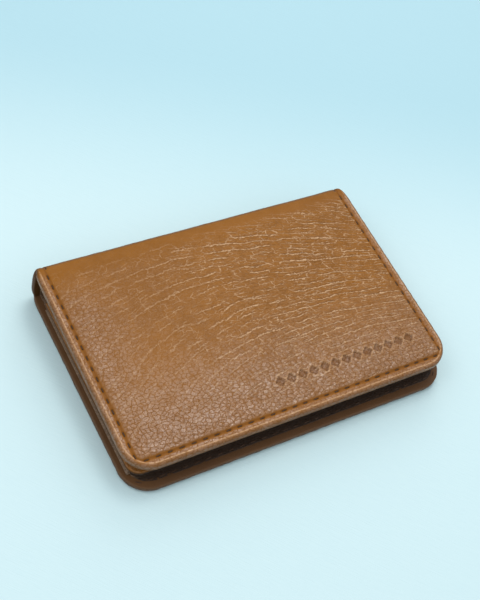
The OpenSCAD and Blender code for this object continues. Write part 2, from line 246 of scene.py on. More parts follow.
def tan_leather():
    """Pebbled cowhide with a soft gloss. Its creases and round grain lie where the mesh says, with
    a painted highlight along the creases, and its edges are darkened, partly in their own colour and
    partly with painted shade, with a painted highlight along their top."""
    paint = Paint("tan_leather")
    at = paint.place("skin")
    # Several marks paint light: the stitch pits, furrows and darkened edges carry painted shade, and the top
    # of the edge, the grey sheen and the crease lines carry painted highlights.
    marks = ("fineness", "groove", "lip", "pit", "furrow", "burnish", "ridge", "worn")
    fineness, groove, lip, pit, furrow, burnish, ridge, worn = (paint.mark(name) for name in marks)
    pale_tan, crease_shade = rgb(150, 94, 22), rgb(104, 62, 16)
    # grain: veins along the flow of the creases, pebbles, and pores
    flow = paint.warped(paint.place("flow"), 0.45, 1.6)
    web = paint.borders(paint.stretch(flow, 0.36, 0.95), 0.8)
    fine_web = paint.borders(paint.stretch(flow, 0.55, 1.0, turn=14), 1.5)
    veined = paint.noise(at, 0.3, 4.0, 0.65).ramp(0.42, 0.6)
    broad = paint.noise(at, 0.035, 3.0)
    blotch = paint.noise(at, 0.25, 4.0, 0.6)
    bent = paint.warped(at, 0.25, 0.8)
    pebble = paint.borders(paint.stretch(bent, 0.85, 1.1, turn=-8), 0.75).ramp(0.0, 0.16)
    fine = paint.borders(paint.stretch(bent, 0.9, 1.2, turn=20), 1.7).ramp(0.0, 0.2)
    pores = paint.noise(at, 7.0, 2.0, 0.6)
    # tan of the hide, a painted grey sheen over the fine grain, and painted shade in its furrows
    colour = paint.mix(broad.ramp(0.35, 0.65), rgb(143, 88, 14), rgb(134, 82, 10))
    colour = paint.mix(blotch.ramp(0.45, 0.75) * 0.5, colour, pale_tan)
    sheen = fineness * blotch.ramp(0.3, 0.7, 0.45, 1.0)
    colour = paint.mix(sheen * (0.1 + pebble * 0.35 + fine * 0.1), colour, rgb(174, 138, 114))
    colour = paint.mix((1 - fine) * (0.14 + fineness * 0.12), colour, rgb(108, 64, 24))
    colour = paint.mix((1 - pebble) * fineness * 0.25, colour, rgb(104, 64, 30))
    colour = paint.mix(furrow * 0.35, colour, rgb(104, 66, 34))
    # veins, grooved in the bump, each with a painted highlight along it and painted shade either side
    lines = 1 - web.ramp(0.01, 0.085)
    small_lines = 1 - fine_web.ramp(0.02, 0.14)
    halo = (1 - web.ramp(0.04, 0.2)) * worn
    colour = paint.mix(halo * 0.3, colour, crease_shade)
    colour = paint.mix(small_lines * worn * 0.3, colour, rgb(176, 130, 84))
    colour = paint.mix(lines * worn * veined * 0.66, colour, rgb(216, 173, 132))
    height = pebble * (0.1 + fineness * 0.7) + fine * (0.06 + fineness * 0.5) + pores * 0.05
    height = height - (1 - web.ramp(0.0, 0.14)) * worn * 0.8 - small_lines * worn * 0.2
    # creases, each a hollow in the bump with painted shade round it and a broken painted highlight along it
    wobble = (paint.noise(at, 0.9, 5.0, 0.65) - 0.5) * 1.5
    broken = paint.noise(at, 1.3, 2.0, 0.6).ramp(0.36, 0.56, 0.25, 1.0)
    for name, crease in CREASES.items():
        spacing, width = crease["spacing"], crease["width"]
        count, present = paint.split(paint.place(name))
        away = (count + wobble * (1 / spacing)).from_whole() * spacing
        height = height - (1 - away.ramp(0.0, width * 1.8)) * present * 1.2
        halo = (1 - away.ramp(width, width * 3.2)) * present
        colour = paint.mix(halo * 0.3, colour, crease_shade)
        bright = (1 - away.ramp(width * 0.25, width)) * present * broken
        colour = paint.mix(bright * 0.85, colour, rgb(222, 180, 140))
    # stitch line and edges: an orange tint in the groove, edges darkened partly in their own colour and
    # partly with painted shade, painted shade in the stitch pits, a painted highlight along the top of the
    # edge, and the lining's taupe at the lip
    colour = paint.mix(groove * 0.6, colour, rgb(124, 72, 12))
    colour = paint.mix(burnish, colour, rgb(56, 36, 22))
    colour = paint.mix(ridge * broken, colour, rgb(226, 178, 132))
    colour = paint.mix(lip * 0.8, colour, rgb(122, 98, 80))
    colour = paint.mix(pit, colour, rgb(20, 11, 6))
    rough = blotch.ramp(0.3, 0.7, 0.28, 0.38) + (1 - pebble) * 0.1 + groove * 0.1 + pit * 0.3 + burnish * 0.2
    return paint.finish(Base_Color=colour, Roughness=rough, Normal=paint.bump(height, 0.09),
                        Specular_IOR_Level=0.2, Coat_Weight=sheen * pebble * 0.9, Coat_Roughness=0.2)


def lining_leather():
    """Thin grey-brown leather with a close irregular grain, with painted shade where the mesh says."""
    paint = Paint("lining_leather")
    at = paint.place("skin")
    bent = paint.warped(at, 0.2, 0.7)
    grain = paint.borders(paint.stretch(bent, 0.8, 1.3, turn=12), 1.15).ramp(0.0, 0.22)
    cloud = paint.noise(at, 0.5, 5.0, 0.65)
    pores = paint.noise(at, 6.0, 3.0, 0.6)
    colour = paint.mix(cloud.ramp(0.35, 0.65), rgb(118, 94, 74), rgb(136, 110, 86))
    colour = paint.mix((1 - grain) * 0.45, colour, rgb(66, 48, 36))
    colour = paint.mix(paint.mark("dyed") * 0.9, colour, rgb(46, 30, 20))
    normal = paint.bump(grain * 0.8 + pores * 0.2, 0.08)
    return paint.finish(Base_Color=colour, Roughness=cloud.ramp(0.3, 0.7, 0.42, 0.56), Normal=normal,
                        Specular_IOR_Level=0.35)


def thread(name, dark, pale):
    """Waxed thread of two twisted strands."""
    paint = Paint(name)
    at = paint.place("skin")
    fibres = paint.noise(paint.stretch(at, 3.0, 14.0), 1.0, 2.0)
    colour = paint.mix(fibres, rgb(*dark), rgb(*pale))
    return paint.finish(Base_Color=colour, Roughness=0.55, Normal=paint.bump(fibres, 0.03))


def woven_backing():
    """Plain woven brown fabric."""
    paint = Paint("fabric_backing")
    at = paint.place("skin")
    threads_per_mm = 2.2
    turns = paint.node("VectorMath", {"operation": "SCALE"}, {0: at, "Scale": threads_per_mm * math.pi})
    warp, weft = paint.split(turns)
    weave = warp.sine() * weft.sine() * 0.5 + 0.5
    fibre = paint.noise(at, 6.0, 3.0)
    colour = paint.mix(weave * 0.6 + fibre * 0.3, rgb(62, 44, 28), rgb(104, 80, 56))
    return paint.finish(Base_Color=colour, Roughness=0.85, Normal=paint.bump(weave + fibre * 0.3, 0.08))


def fibre_board():
    """Grey stiffening board, pressed from fibres."""
    paint = Paint("fibre_board")
    at = paint.node("TexCoord", output="Object")
    fibres = paint.noise(paint.stretch(at, 900, 2600, 900), 1.0, 4.0, 0.7)
    colour = paint.mix(fibres, rgb(150, 143, 130), rgb(186, 180, 168))
    return paint.finish(Base_Color=colour, Roughness=0.85, Normal=paint.bump(fibres, 0.05))


def felt():
    """Off-white wadding."""
    paint = Paint("felt_wadding")
    hair = paint.noise(paint.place("skin"), 3.0, 5.0, 0.7)
    colour = paint.mix(hair, rgb(214, 206, 190), rgb(236, 231, 219))
    return paint.finish(Base_Color=colour, Roughness=0.95, Normal=paint.bump(hair, 0.1))


def floor_cloth():
    """Pale blue cloth with fine ribs, with painted shade darkening it towards the back."""
    paint = Paint("floor_cloth")
    at = paint.node("TexCoord", output="Object")
    x, y = paint.split(at)
    # painted shade: the cloth darkens towards the back as the light falls off
    back = (x * 470 + y * 880).ramp(25, 125)
    ribs = paint.noise(paint.stretch(at, 2500, 200, 1, turn=-40), 1.0, 1.0)
    colour = paint.mix(ribs * 0.3, rgb(208, 230, 232), rgb(194, 221, 227))
    colour = paint.mix(back, colour, rgb(176, 210, 219))
    return paint.finish(Base_Color=colour, Roughness=0.9, Specular_IOR_Level=0.15,
                        Normal=paint.bump(ribs, 0.05))


# ---- Patterns worked out on the meshes ----

def wave_noise(x, y, seed):
    """Smooth noise from -1 to 1 that changes over about one unit."""
    size = 64
    table = np.random.RandomState(seed).uniform(-1, 1, (size, size))
    i, j = np.floor(x).astype(int), np.floor(y).astype(int)
    u, w = x - i, y - j
    u, w = u * u * (3 - 2 * u), w * w * (3 - 2 * w)
    corner = [[table[(i + a) % size, (j + b) % size] for b in (0, 1)] for a in (0, 1)]
    return ((corner[0][0] * (1 - u) + corner[1][0] * u) * (1 - w)
            + (corner[0][1] * (1 - u) + corner[1][1] * u) * w)


def cell_pattern(x, y, seed):
    """Distance to the nearest border and to the nearest centre of irregular unit cells."""
    size = 64
    table = np.random.RandomState(seed).uniform(0.1, 0.9, (size, size, 2))
    i, j = np.floor(x).astype(int), np.floor(y).astype(int)
    nearest = np.full(x.shape, 9.0)
    second = nearest.copy()
    for a in (-1, 0, 1):
        for b in (-1, 0, 1):
            centre = table[(i + a) % size, (j + b) % size]
            away = np.hypot(i + a + centre[..., 0] - x, j + b + centre[..., 1] - y)
            second = np.minimum(second, np.maximum(nearest, away))
            nearest = np.minimum(nearest, away)
    return second - nearest, nearest


def smooth(value, low, high):
    """0 below low, 1 above high, and smooth between them."""
    t = np.clip((value - low) / (high - low), 0, 1)
    return t * t * (3 - 2 * t)


def hump(away, width):
    """1 where away is 0, and little left at twice the width from there."""
    return np.exp(-(away / width) ** 2)


def inside(x, v, half, front, radius):
    """Distance in from an outline that is open at the back, with two rounded front corners."""
    across, along = np.abs(x) - (half - radius), v - (front - radius)
    out = np.hypot(np.maximum(across, 0), np.maximum(along, 0))
    return radius - out - np.minimum(np.maximum(across, along), 0)


# ---- Cover panels, unrolled ----

class Panel:
    """A cover panel and its half of the spine. side is 1 for the flap and -1 for the lower one."""

    def __init__(self, hide, axis_z, slope, side):
        lean = math.radians(slope)
        self.side, self.lean = side, lean
        self.normal = np.array((-math.sin(lean), math.cos(lean)))
        self.forward = np.array((-math.cos(lean), -math.sin(lean)))
        axis = np.array((CREASE_Y, side * axis_z))
        skin = axis + PANEL_T / 2 * self.normal
        fold_y = BACK_Y - FOLD_R
        fold_z = (skin @ self.normal - FOLD_R - fold_y * self.normal[0]) / self.normal[1]
        self.centre = np.array((fold_y, fold_z))
        self.arc = FOLD_R * (math.pi / 2 + lean)
        self.run = fold_z - side * MID_Z
        front_y = box_mm(hide)[0][1]
        self.axis_v = (axis - self.centre) @ self.forward
        self.length = (CREASE_Y - front_y) / math.cos(lean) + self.axis_v
        self.tail = self.arc + self.run

    def place(self, x, v, n):
        """Points in the frame, in millimetres."""
        angle = math.pi / 2 + self.lean - np.clip(-v, 0, self.arc) / FOLD_R
        flat, down = np.maximum(v, 0), np.maximum(-v - self.arc, 0)
        y = self.centre[0] + (FOLD_R + n) * np.cos(angle) + flat * self.forward[0]
        z = self.centre[1] + (FOLD_R + n) * np.sin(angle) + flat * self.forward[1] - down
        return np.stack((x, y, self.side * z), -1)

    def inner(self, lift):
        """place for a layer whose face lies lift above the panel's inner face."""
        return lambda x, v, n: self.place(x, v, -PANEL_T - lift - n)


flap = Panel("front_hide", UPPER_AXIS_Z, FLAP_SLOPE, 1)
lower = Panel("back_hide", LOWER_AXIS_Z, 0, -1)


def bend_over_fold(obj, panel):
    """Bakes the transform of obj into its mesh, the same for either panel."""
    if panel.side > 0:
        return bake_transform(obj)
    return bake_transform(obj)


# ---- Mesh making ----

def add_mesh(name, points, faces, material, marks=None):
    """Object with these points in millimetres, its faces, and its marks."""
    mesh = bpy.data.meshes.new(name)
    mesh.from_pydata((points * MM).tolist(), [], faces)
    mesh.materials.append(material)
    mesh.shade_smooth()
    for mark, values in (marks or {}).items():
        kind, field = ("FLOAT_VECTOR", "vector") if np.ndim(values) == 2 else ("FLOAT", "value")
        attribute = mesh.attributes.new(mark, kind, "POINT")
        attribute.data.foreach_set(field, np.asarray(values, np.float32).ravel())
    obj = bpy.data.objects.new(name, mesh)
    bpy.context.scene.collection.objects.link(obj)
    return obj


def graded(start, end, fine, coarse, edge):
    """Steps from start to end: fine ones within edge of the end, and coarse ones before."""
    bend = end - edge
    first = np.linspace(start, bend, max(2, round((bend - start) / coarse) + 1))
    return np.concatenate((first, np.linspace(bend, end, round(edge / fine) + 1)[1:]))


def edge_section(thick, radius, low_radius=None, lip=0.0):
    """Section of a rounded edge, from the outer face to the inner: [outward, n, slant].

    lip is the depth of the line where the cover is turned over the lining, if it shows."""
    low_radius = low_radius or radius
    square = math.pi / 2
    arc = [square * i / 6 for i in range(7)]
    top = [(radius * math.sin(a), radius * (math.cos(a) - 1), a) for a in arc]
    low = [(radius - low_radius * (1 - math.cos(a)), -thick + low_radius * (1 - math.sin(a)), square + a)
           for a in arc]
    steps = ((0.6, 0), (0.68, 0), (0.73, lip), (0.78, 0)) if lip else ()
    flat = [(radius - sunk, -thick * share, square) for share, sunk in steps]
    return np.array(top + flat + low)


def outline_grid(half, back, front, radius, step, fine, rim):
    """Grid of unrolled points with rounded front corners, finer near its outline, and how far it
    turns to the side and to the front at each point, from 0 to 1."""
    sides = graded(0, half, fine[0], step[0], rim)
    xs = np.concatenate((-sides[:0:-1], sides))
    x, v = np.meshgrid(xs, graded(back, front, fine[1], step[1], rim))
    over_x = np.clip((np.abs(x) - (half - radius)) / radius, 0, 1)
    over_v = np.clip((v - (front - radius)) / radius, 0, 1)
    round_x, round_v = over_x * np.sqrt(1 - over_v ** 2 / 2), over_v * np.sqrt(1 - over_x ** 2 / 2)
    x = np.sign(x) * (np.minimum(np.abs(x), half - radius) + round_x * radius)
    v = np.minimum(v, front - radius) + round_v * radius
    return x, v, round_x, round_v


def ways_out(x, round_x, round_v, index, rim_ids, closed):
    """Direction out of the outline at each of its points, as x and v."""
    left_or_right = np.sign(x[rim_ids])
    out_x, out_v = left_or_right * round_x[rim_ids], round_v[rim_ids]
    on_side = np.isin(rim_ids, np.concatenate((index[:, 0], index[:, -1])))
    straight = np.hypot(out_x, out_v) < 0.99
    out_x = np.where(straight, np.where(on_side, left_or_right, 0.0), out_x)
    out_v = np.where(straight, np.where(on_side, 0.0, 1.0), out_v)
    if closed:
        at_back = np.isin(rim_ids, index[0])
        out_x, out_v = np.where(at_back & ~on_side, 0.0, out_x), np.where(at_back, -1.0, out_v)
    return out_x, out_v


def skin_mesh(name, half, back, front, corner, place, section, relief, material,
              step=(0.4, 0.4), fine=(0.3, 0.3), rim=6.0, closed=False, tuck=0.0, nip=None, flip=False):
    """Leather skin: an outer face with relief, rounded edges, and an inner face if closed.

    The outline runs from back to front and is open at the back unless closed. place turns
    unrolled points into the frame, and relief gives the height and the marks of each point."""
    reach = section[:, 0].max()
    radius = max(corner - reach, 0.01)
    x, v, round_x, round_v = outline_grid(half - reach, back + (reach if closed else 0), front - reach,
                                          radius, step, fine, rim)
    if nip is not None:
        x = x * (1 - nip(v) / half)
    index = np.arange(x.size).reshape(x.shape)
    rim_ids = np.concatenate((index[:, 0], index[-1, 1:], index[-2::-1, -1]))
    if closed:
        rim_ids = np.concatenate((rim_ids, index[0, -2:0:-1]))
    x, v, every = x.ravel(), v.ravel(), index.ravel()
    out_x, out_v = np.zeros(x.size), np.zeros(x.size)
    out_x[rim_ids], out_v[rim_ids] = ways_out(x, round_x.ravel(), round_v.ravel(), index, rim_ids, closed)

    def layer(ids, out, n, slant, run):
        """Points of a layer, the way that relief moves them, and their place on the flat skin."""
        tilt = math.sin(slant)
        return (x[ids] + out_x[ids] * out, v[ids] + out_v[ids] * out, np.full(ids.size, n),
                out_x[ids] * tilt, out_v[ids] * tilt, np.full(ids.size, math.cos(slant)),
                x[ids] + out_x[ids] * run, v[ids] + out_v[ids] * run)

    runs = np.cumsum(np.hypot(*np.diff(section[:, :2], axis=0).T))
    edge = [(*point, run) for point, run in zip(section[1:], runs)]
    if tuck:
        edge.append((section[-1, 0] - tuck, section[-1, 1], math.pi, runs[-1] + tuck))
    layers = [layer(every, 0, 0, 0, 0)]
    rings = [rim_ids]
    faces = quads(index, flip)
    total = x.size
    for out, n, slant, run in edge:
        layers.append(layer(rim_ids, out, n, slant, run))
        rings.append(np.arange(total, total + rim_ids.size))
        total += rim_ids.size
    if closed:
        layers.append(layer(every, 0, section[-1, 1], math.pi, 0))
        rings.append(total + rim_ids)
        faces += quads(total + index, not flip)
    for near, far in zip(rings, rings[1:]):
        faces += strip(near, far, closed, flip)
    px, pv, pn, dx, dv, dn, flat_x, flat_v = (np.concatenate(column) for column in zip(*layers))
    height, marks = relief(flat_x, flat_v, pn)
    points = place(px + dx * height, pv + dv * height, pn + dn * height)
    marks["skin"] = np.stack((flat_x, flat_v, pn), -1)
    return add_mesh(name, points, faces, material, marks)


def quads(index, flip):
    """Faces of a grid of point numbers."""
    a, b, c, d = index[:-1, :-1], index[:-1, 1:], index[1:, 1:], index[1:, :-1]
    order = (a, b, c, d) if flip else (d, c, b, a)
    return np.stack([corner.ravel() for corner in order], -1).tolist()


def strip(near, far, closed, flip):
    """Faces between two rings of point numbers."""
    if closed:
        near, far = np.append(near, near[0]), np.append(far, far[0])
    a, b, c, d = near[:-1], near[1:], far[1:], far[:-1]
    order = (a, b, c, d) if flip else (d, c, b, a)
    return np.stack(order, -1).tolist()


# ---- Stitches ----

class StitchLine:
    """Line of stitches up both sides of a panel and round its front."""

    def __init__(self, start, front):
        self.half = CASE_HW - STITCH_IN
        self.start, self.front = start, front
        self.side = front - STITCH_IN - STITCH_R - start
        self.bend = math.pi * STITCH_R / 2
        self.total = 2 * (self.side + self.bend + self.half - STITCH_R)
        self.count = round(self.total / STITCH_PITCH)

    def at(self, run):
        """[x, v, heading] at a run from the left end, heading 0 along x."""
        s = min(run, self.total - run)
        turn = (s - self.side) / STITCH_R
        if turn < 0:
            x, v, heading = -self.half, self.start + s, math.pi / 2
        elif turn < math.pi / 2:
            x = -self.half + STITCH_R * (1 - math.cos(turn))
            v, heading = self.start + self.side + STITCH_R * math.sin(turn), math.pi / 2 - turn
        else:
            x = -self.half + STITCH_R + s - self.side - self.bend
            v, heading = self.front - STITCH_IN, 0.0
        return (x, v, heading) if run <= self.total / 2 else (-x, v, -heading)

    def places(self):
        step = self.total / self.count
        return [self.at((i + 0.5) * step) for i in range(self.count)]


def stitch_mesh(name, stitches, place, material, sink, dive, slant=7.0):
    """Twisted thread for each stitch, diving into the leather at both ends. A stitch is
    (x, v, heading, n) and its thread is centred sink below n."""
    rings, sides, twists = 15, 10, 2.5
    share = np.linspace(0, 1, rings)
    around = np.linspace(0, 2 * math.pi, sides, endpoint=False)
    bow = np.abs(2 * share - 1) ** 5
    swell = 1 - 0.35 * np.abs(2 * share - 1) ** 6
    points, faces, marks = [], [], []
    for k, (x, v, heading, n) in enumerate(stitches):
        heading = heading - math.radians(slant) * np.sign(math.cos(heading) + 1e-6)
        along = np.array((math.cos(heading), math.sin(heading)))
        cross = np.array((-along[1], along[0]))
        run = (share - 0.5) * STITCH_LEN
        strand = 1 + 0.16 * np.cos(2 * (around[None] - twists * math.pi * share[:, None] + k))
        radius = THREAD_R * swell[:, None] * strand
        side = radius * np.cos(around)[None]
        up = radius * np.sin(around)[None] * 0.8 - sink - dive * bow[:, None]
        px = x + along[0] * run[:, None] + cross[0] * side
        pv = v + along[1] * run[:, None] + cross[1] * side
        first = len(points) * rings * sides
        points.append(place(px.ravel(), pv.ravel(), (n + up).ravel()))
        on_thread = np.broadcast_arrays(run[:, None] + k * 5, around[None] * THREAD_R, 0.0)
        marks.append(np.stack(on_thread, -1).reshape(-1, 3))
        ring = first + np.arange(rings * sides).reshape(rings, sides)
        for a, b in zip(ring, ring[1:]):
            faces += strip(a, b, True, False)
        faces += [ring[0].tolist(), ring[-1][::-1].tolist()]
    return add_mesh(name, np.concatenate(points), faces, material, {"skin": np.concatenate(marks)})


# ---- Cover ----

def crease_field(x, level, name, seed):
    """How many creases lie below each point, and how far they are present there, 0 to 1."""
    crease = CREASES[name]
    drift = 0.9 * wave_noise(x / 11, level / 7, seed) + 0.35 * wave_noise(x / 3.3, level / 3.1, seed + 1)
    drift = drift + 0.13 * wave_noise(x / 1.2, level / 1.3, seed + 2)
    present = wave_noise(x / crease["length"], level / 1.3, seed + 3) * 0.5 + 0.5
    present = smooth(present, 0.92 - crease["share"], 1.2 - crease["share"])
    return (level + drift) / crease["spacing"], present


def pebbles(x, v, size, seed):
    """Round grain: 1 on the crowns and 0 in the furrows."""
    shift = 0.25 * wave_noise(x / size * 0.7, v / size * 0.7, seed + 5)
    border, centre = cell_pattern(x / size * 0.85 + shift, v / size * 1.1 + shift, seed)
    return smooth(border, 0.0, 0.35) * (1 - 0.4 * centre ** 2)


def stitch_pits(x, v, stitches, reach=0.24, share=0.5):
    """How far the stitches pull the leather in, from 0 to 1."""
    pull = np.zeros_like(x)
    half_run = STITCH_LEN / 2 * share
    for sx, sv, heading, *_ in stitches:
        close = (np.abs(x - sx) < 2.2) & (np.abs(v - sv) < 2.2)
        dx, dv = x[close] - sx, v[close] - sv
        run = dx * math.cos(heading) + dv * math.sin(heading)
        off = dv * math.cos(heading) - dx * math.sin(heading)
        away = np.hypot(off, np.maximum(np.abs(run) - half_run, 0))
        pull[close] = np.maximum(pull[close], hump(away, reach))
    return pull


def crease_level(x, y):
    """Rises by one for each millimetre across the creases, which bow and fan out over the panel."""
    return y * (1 + 0.0078 * x) - 0.055 * x + 0.004 * x ** 2


def add_creases(height, marks, x, level, worn, seed):
    """Adds the marks of the creases, and returns the height with their hollows in it."""
    for k, (name, crease) in enumerate(CREASES.items()):
        count, present = crease_field(x, level + CREASE_CROSSING * k * x, name, seed + 7 * k)
        present = present * worn
        away = np.abs(count - np.round(count)) * crease["spacing"]
        height = height - crease["depth"] * present * hump(away, CREASE_HOLLOW)
        marks[name] = np.stack((count, present, 0 * count), -1)
    return height


def lozenges(x, v):
    """Pressed depth and raised rim of the tooled row of lozenges near the flap's corner."""
    count, pitch, reach = 13, 3.7, 1.5
    from_side, from_front, rim_away = 10.1, 11, 0.5
    from_middle = np.full(x.shape, 9.0)
    for i in range(count):
        middle = CASE_HW - from_side - i * pitch
        away = np.abs(x - middle) + np.abs(v - (flap.length - from_front))
        from_middle = np.minimum(from_middle, away)
    return 1 - smooth(from_middle, reach - 0.3, reach + 0.25), hump(from_middle - reach - rim_away, 0.3)


def add_tooling(height, marks, pressed, rim):
    """Tints the pressed places, paints shade into them and onto their walls and a highlight along their
    rims, and returns the height with them in it.
    """
    wall = pressed * (1 - pressed)
    for name, depth in (("groove", pressed * 0.5), ("ridge", rim * 0.32),
                        ("pit", 0.12 * pressed + wall), ("furrow", 6.4 * wall + 0.5 * pressed)):
        marks[name] = np.maximum(marks[name], depth)
    return height - pressed * 0.42 + rim * 0.09


def cover_relief(panel, stitches, strength, puff, base, seed, burnish, motif=None):
    """Height of the cover's outer face: wadding, groove, stitch pits, creases and grain.

    strength is that of the grain, puff how far the wadding lifts the leather, base how high the
    face lies, burnish how dark the edge is, partly its own darker colour and partly painted shade,
    and motif gives what is tooled into the face."""

    def relief(x, v, n):
        face = smooth(n, -0.7, -0.02)
        seam = smooth(v, -panel.tail, -panel.tail + 2.0)
        from_stitch = inside(x, v, CASE_HW - STITCH_IN, panel.length - STITCH_IN, STITCH_R)
        from_edge = inside(x, v, CASE_HW, panel.length, CORNER_R)
        # where the leather is grained finely, creased (in the bump and with painted highlights), or sewn
        inner = smooth(from_stitch, 0.2, 1.0)
        forward = smooth(v, 0.45 * panel.length, 0.97 * panel.length)
        leftward = smooth(-x, 28, 50) * smooth(v, 2, 20)
        fineness = (0.08 + 0.92 * np.maximum(forward, 0.6 * leftward)) * inner * face
        calm = inner * smooth(v, 0.5, 6.0) * face
        worn = calm * (1 - 0.6 * fineness) * strength * (0.3 + 0.7 * smooth(x, -34, 16))
        rim_grain = smooth(-from_stitch, 0.3, 1.0) * smooth(n, -2.2, -1.4) * smooth(v, 0, 4)
        groove = hump(from_stitch, 0.4) * face
        band = smooth(-from_stitch, -0.1, 0.4) * face
        pit = stitch_pits(x, v, stitches) * face
        # shape
        swell = puff * (1 - np.exp(-np.maximum(from_stitch - 0.2, 0) / 0.7)) * seam * smooth(v, -1, 5)
        lumps = 0.07 * wave_noise(x / 5.5, v / 4.5, seed + 20)
        lumps = lumps + 0.04 * wave_noise(x / 2.4, v / 2.0, seed + 21)
        rim_lumps = smooth(-from_stitch, 0.2, 0.8) * smooth(v, 1, 4)
        stone = pebbles(x, v, 1.75, seed + 40)
        height = base * face + swell * face + lumps * inner * 0.8 * seam
        height = height + 0.05 * wave_noise(x / 1.5, v / 1.5, seed + 22) * rim_lumps
        height = height - GROOVE_DEPTH * groove - PIT_DEPTH * pit
        height = height + 0.07 * hump(from_edge - EDGE_R - 0.1, 0.28) * face
        height = height + (stone - 0.6) * (0.15 * fineness + 0.015) * strength * seam
        # colour: painted shade on the edges, over the spine, in the stitch pits and in the furrows, and a
        # painted highlight along the top of the edge
        edge = smooth(-n, 0.0, 0.45)
        fold = smooth(-v, -2.5, 3.0)
        # painted shade over the outer face of the spine
        back = 0.55 * smooth(-v, 0.4, 2.2) * smooth(n, -0.9, -0.5)
        # a thin line of painted shade along the stitch line
        seam_line = 0.13 * hump(from_stitch, 0.2) * face
        level = crease_level(x, panel.length / 2 - v)
        marks = {"fineness": np.maximum(fineness, 0.8 * rim_grain),
                 "pit": np.maximum(smooth(pit, 0.5, 0.85), seam_line),
                 "groove": np.maximum(smooth(groove, 0.2, 0.95), band * 0.12),
                 "furrow": (1 - smooth(stone, 0.0, 0.3)) * fineness,
                 "ridge": hump(from_edge - EDGE_R, 0.2) * 0.6 * smooth(v, -1, 1),
                 "burnish": np.maximum(edge * (burnish + (0.8 - burnish) * fold), back),
                 "lip": smooth(-n, 0.72 * PANEL_T, 0.78 * PANEL_T) * (1 - burnish) * smooth(v, -2, 0),
                 "worn": worn,
                 "flow": np.stack((x + 0.3 * level, level, 0 * x), -1)}
        height = add_creases(height, marks, x, level, worn, seed)
        if motif is not None:
            height = add_tooling(height, marks, *motif(x, v))
        return height, marks

    return relief


def spine_nip(panel):
    """How much the cover draws in on each side where it folds round the spine."""
    return lambda v: SPINE_NIP * hump(v + panel.arc * 0.5, 2.6)


hide = tan_leather()
lining = lining_leather()
weave = woven_backing()
wool = felt()
needle_thread = thread("needle_thread", (38, 22, 10), (92, 58, 26))
bobbin_thread = thread("bobbin_thread", (104, 66, 26), (156, 108, 50))
cover_section = edge_section(PANEL_T, EDGE_R, LIP_R, lip=0.12)
flap_line = StitchLine(0.6, flap.length)
lower_line = StitchLine(0.6, lower.length)


def outer_stitches(panel, line):
    """Stitches that show on the outside of a panel and of its half of the spine."""
    nip = spine_nip(panel)
    stitches = [at + (0,) for at in line.places()]
    extra = int((panel.tail - 1.2 + line.start) / STITCH_PITCH)
    for side in (-1, 1):
        for i in range(extra):
            v = line.start - (i + 0.5) * STITCH_PITCH
            narrow = 1 - float(nip(np.array(v))) / CASE_HW
            stitches.append((side * line.half * narrow, v, math.pi / 2, 0))
    return stitches


def make_cover(name, panel, line, replaced, flip, base, **grain):
    """Hide of a panel and of its half of the spine, with its stitches, which it returns."""
    stitches = outer_stitches(panel, line)
    skin = skin_mesh("cover_" + name, CASE_HW, -panel.tail, panel.length, CORNER_R, panel.place,
                     cover_section, cover_relief(panel, stitches, base=base, **grain), hide,
                     step=(0.42, 0.30), fine=(0.2, 0.2), rim=4.4, tuck=2.2, nip=spine_nip(panel), flip=flip)
    sewn = stitch_mesh(name + "_stitches", stitches, panel.place, needle_thread,
                       sink=GROOVE_DEPTH + 0.14 - base, dive=0.5)
    for piece, slot, nodes_replaced in ((skin, "tan_leather", replaced), (sewn, "thread", [])):
        bend_over_fold(piece, panel)
        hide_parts(*nodes_replaced)
    return sewn


flap_stitches = make_cover("flap", flap, flap_line, ["front_hide", "spine_hide"], False,
                           strength=1.0, puff=PUFF, base=-0.12, seed=11, burnish=0.3, motif=lozenges)
# the lower panel's edges are much darker than the flap's: painted shade
make_cover("lower", lower, lower_line, ["back_hide"], True,
           strength=0.6, puff=0.22, base=-0.36, seed=57, burnish=0.72)
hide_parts("spine_stitching")

# ---- Lining, wadding and card slots ----

TURNED_W = CASE_HW - box_mm("front_lining")[1][0]
FILLING_BACK = CREASE_Y - box_mm("back_lining")[1][1]
SLOT_INSET = CASE_HW - box_mm("first_slot")[1][0]
SLOT_T, SLOT_HIDE_T = 0.7, 0.5
CLOTH_TRIM = 0.3        # how much smaller the cloth behind a slot is, all round
SLOT_NAMES = ("first_slot", "second_slot")
SLOT_MOUTHS = [flap.axis_v + (CREASE_Y - box_mm(name)[1][1]) / math.cos(flap.lean) for name in SLOT_NAMES]


def leather_relief(strength, seed, stitches=(), fold=None, burnish=0.4, front_shade_strength=0.0):
    """Round grain, with pits where it is sewn, darkened with painted shade. It lies smooth in the fold
    of a panel, can carry painted shade along the panel's front, and its edges are darkened, partly in
    their own colour and partly with painted shade."""

    def relief(x, v, n):
        face = smooth(n, -0.3, -0.03)
        if fold is not None:
            face = face * np.maximum(smooth(v, 0.3, 2.5), smooth(-v, fold.arc + 0.3, fold.arc + 1.5))
        pit = stitch_pits(x, v, stitches, reach=0.28) * face
        stone = pebbles(x, v, 1.2, seed)
        lumps = wave_noise(x / 4.5, v / 4.0, seed + 3)
        height = ((stone - 0.6) * 0.06 + lumps * 0.04) * strength * face - 0.12 * pit
        marks = {"fineness": 0.5 * face, "pit": smooth(pit, 0.6, 1.0),
                 "burnish": burnish * smooth(-n, 0.03, 0.4)}
        if front_shade_strength:
            marks["dyed"] = front_shade_strength * smooth(v, fold.length - 6, fold.length - 4)
        return height, marks

    return relief


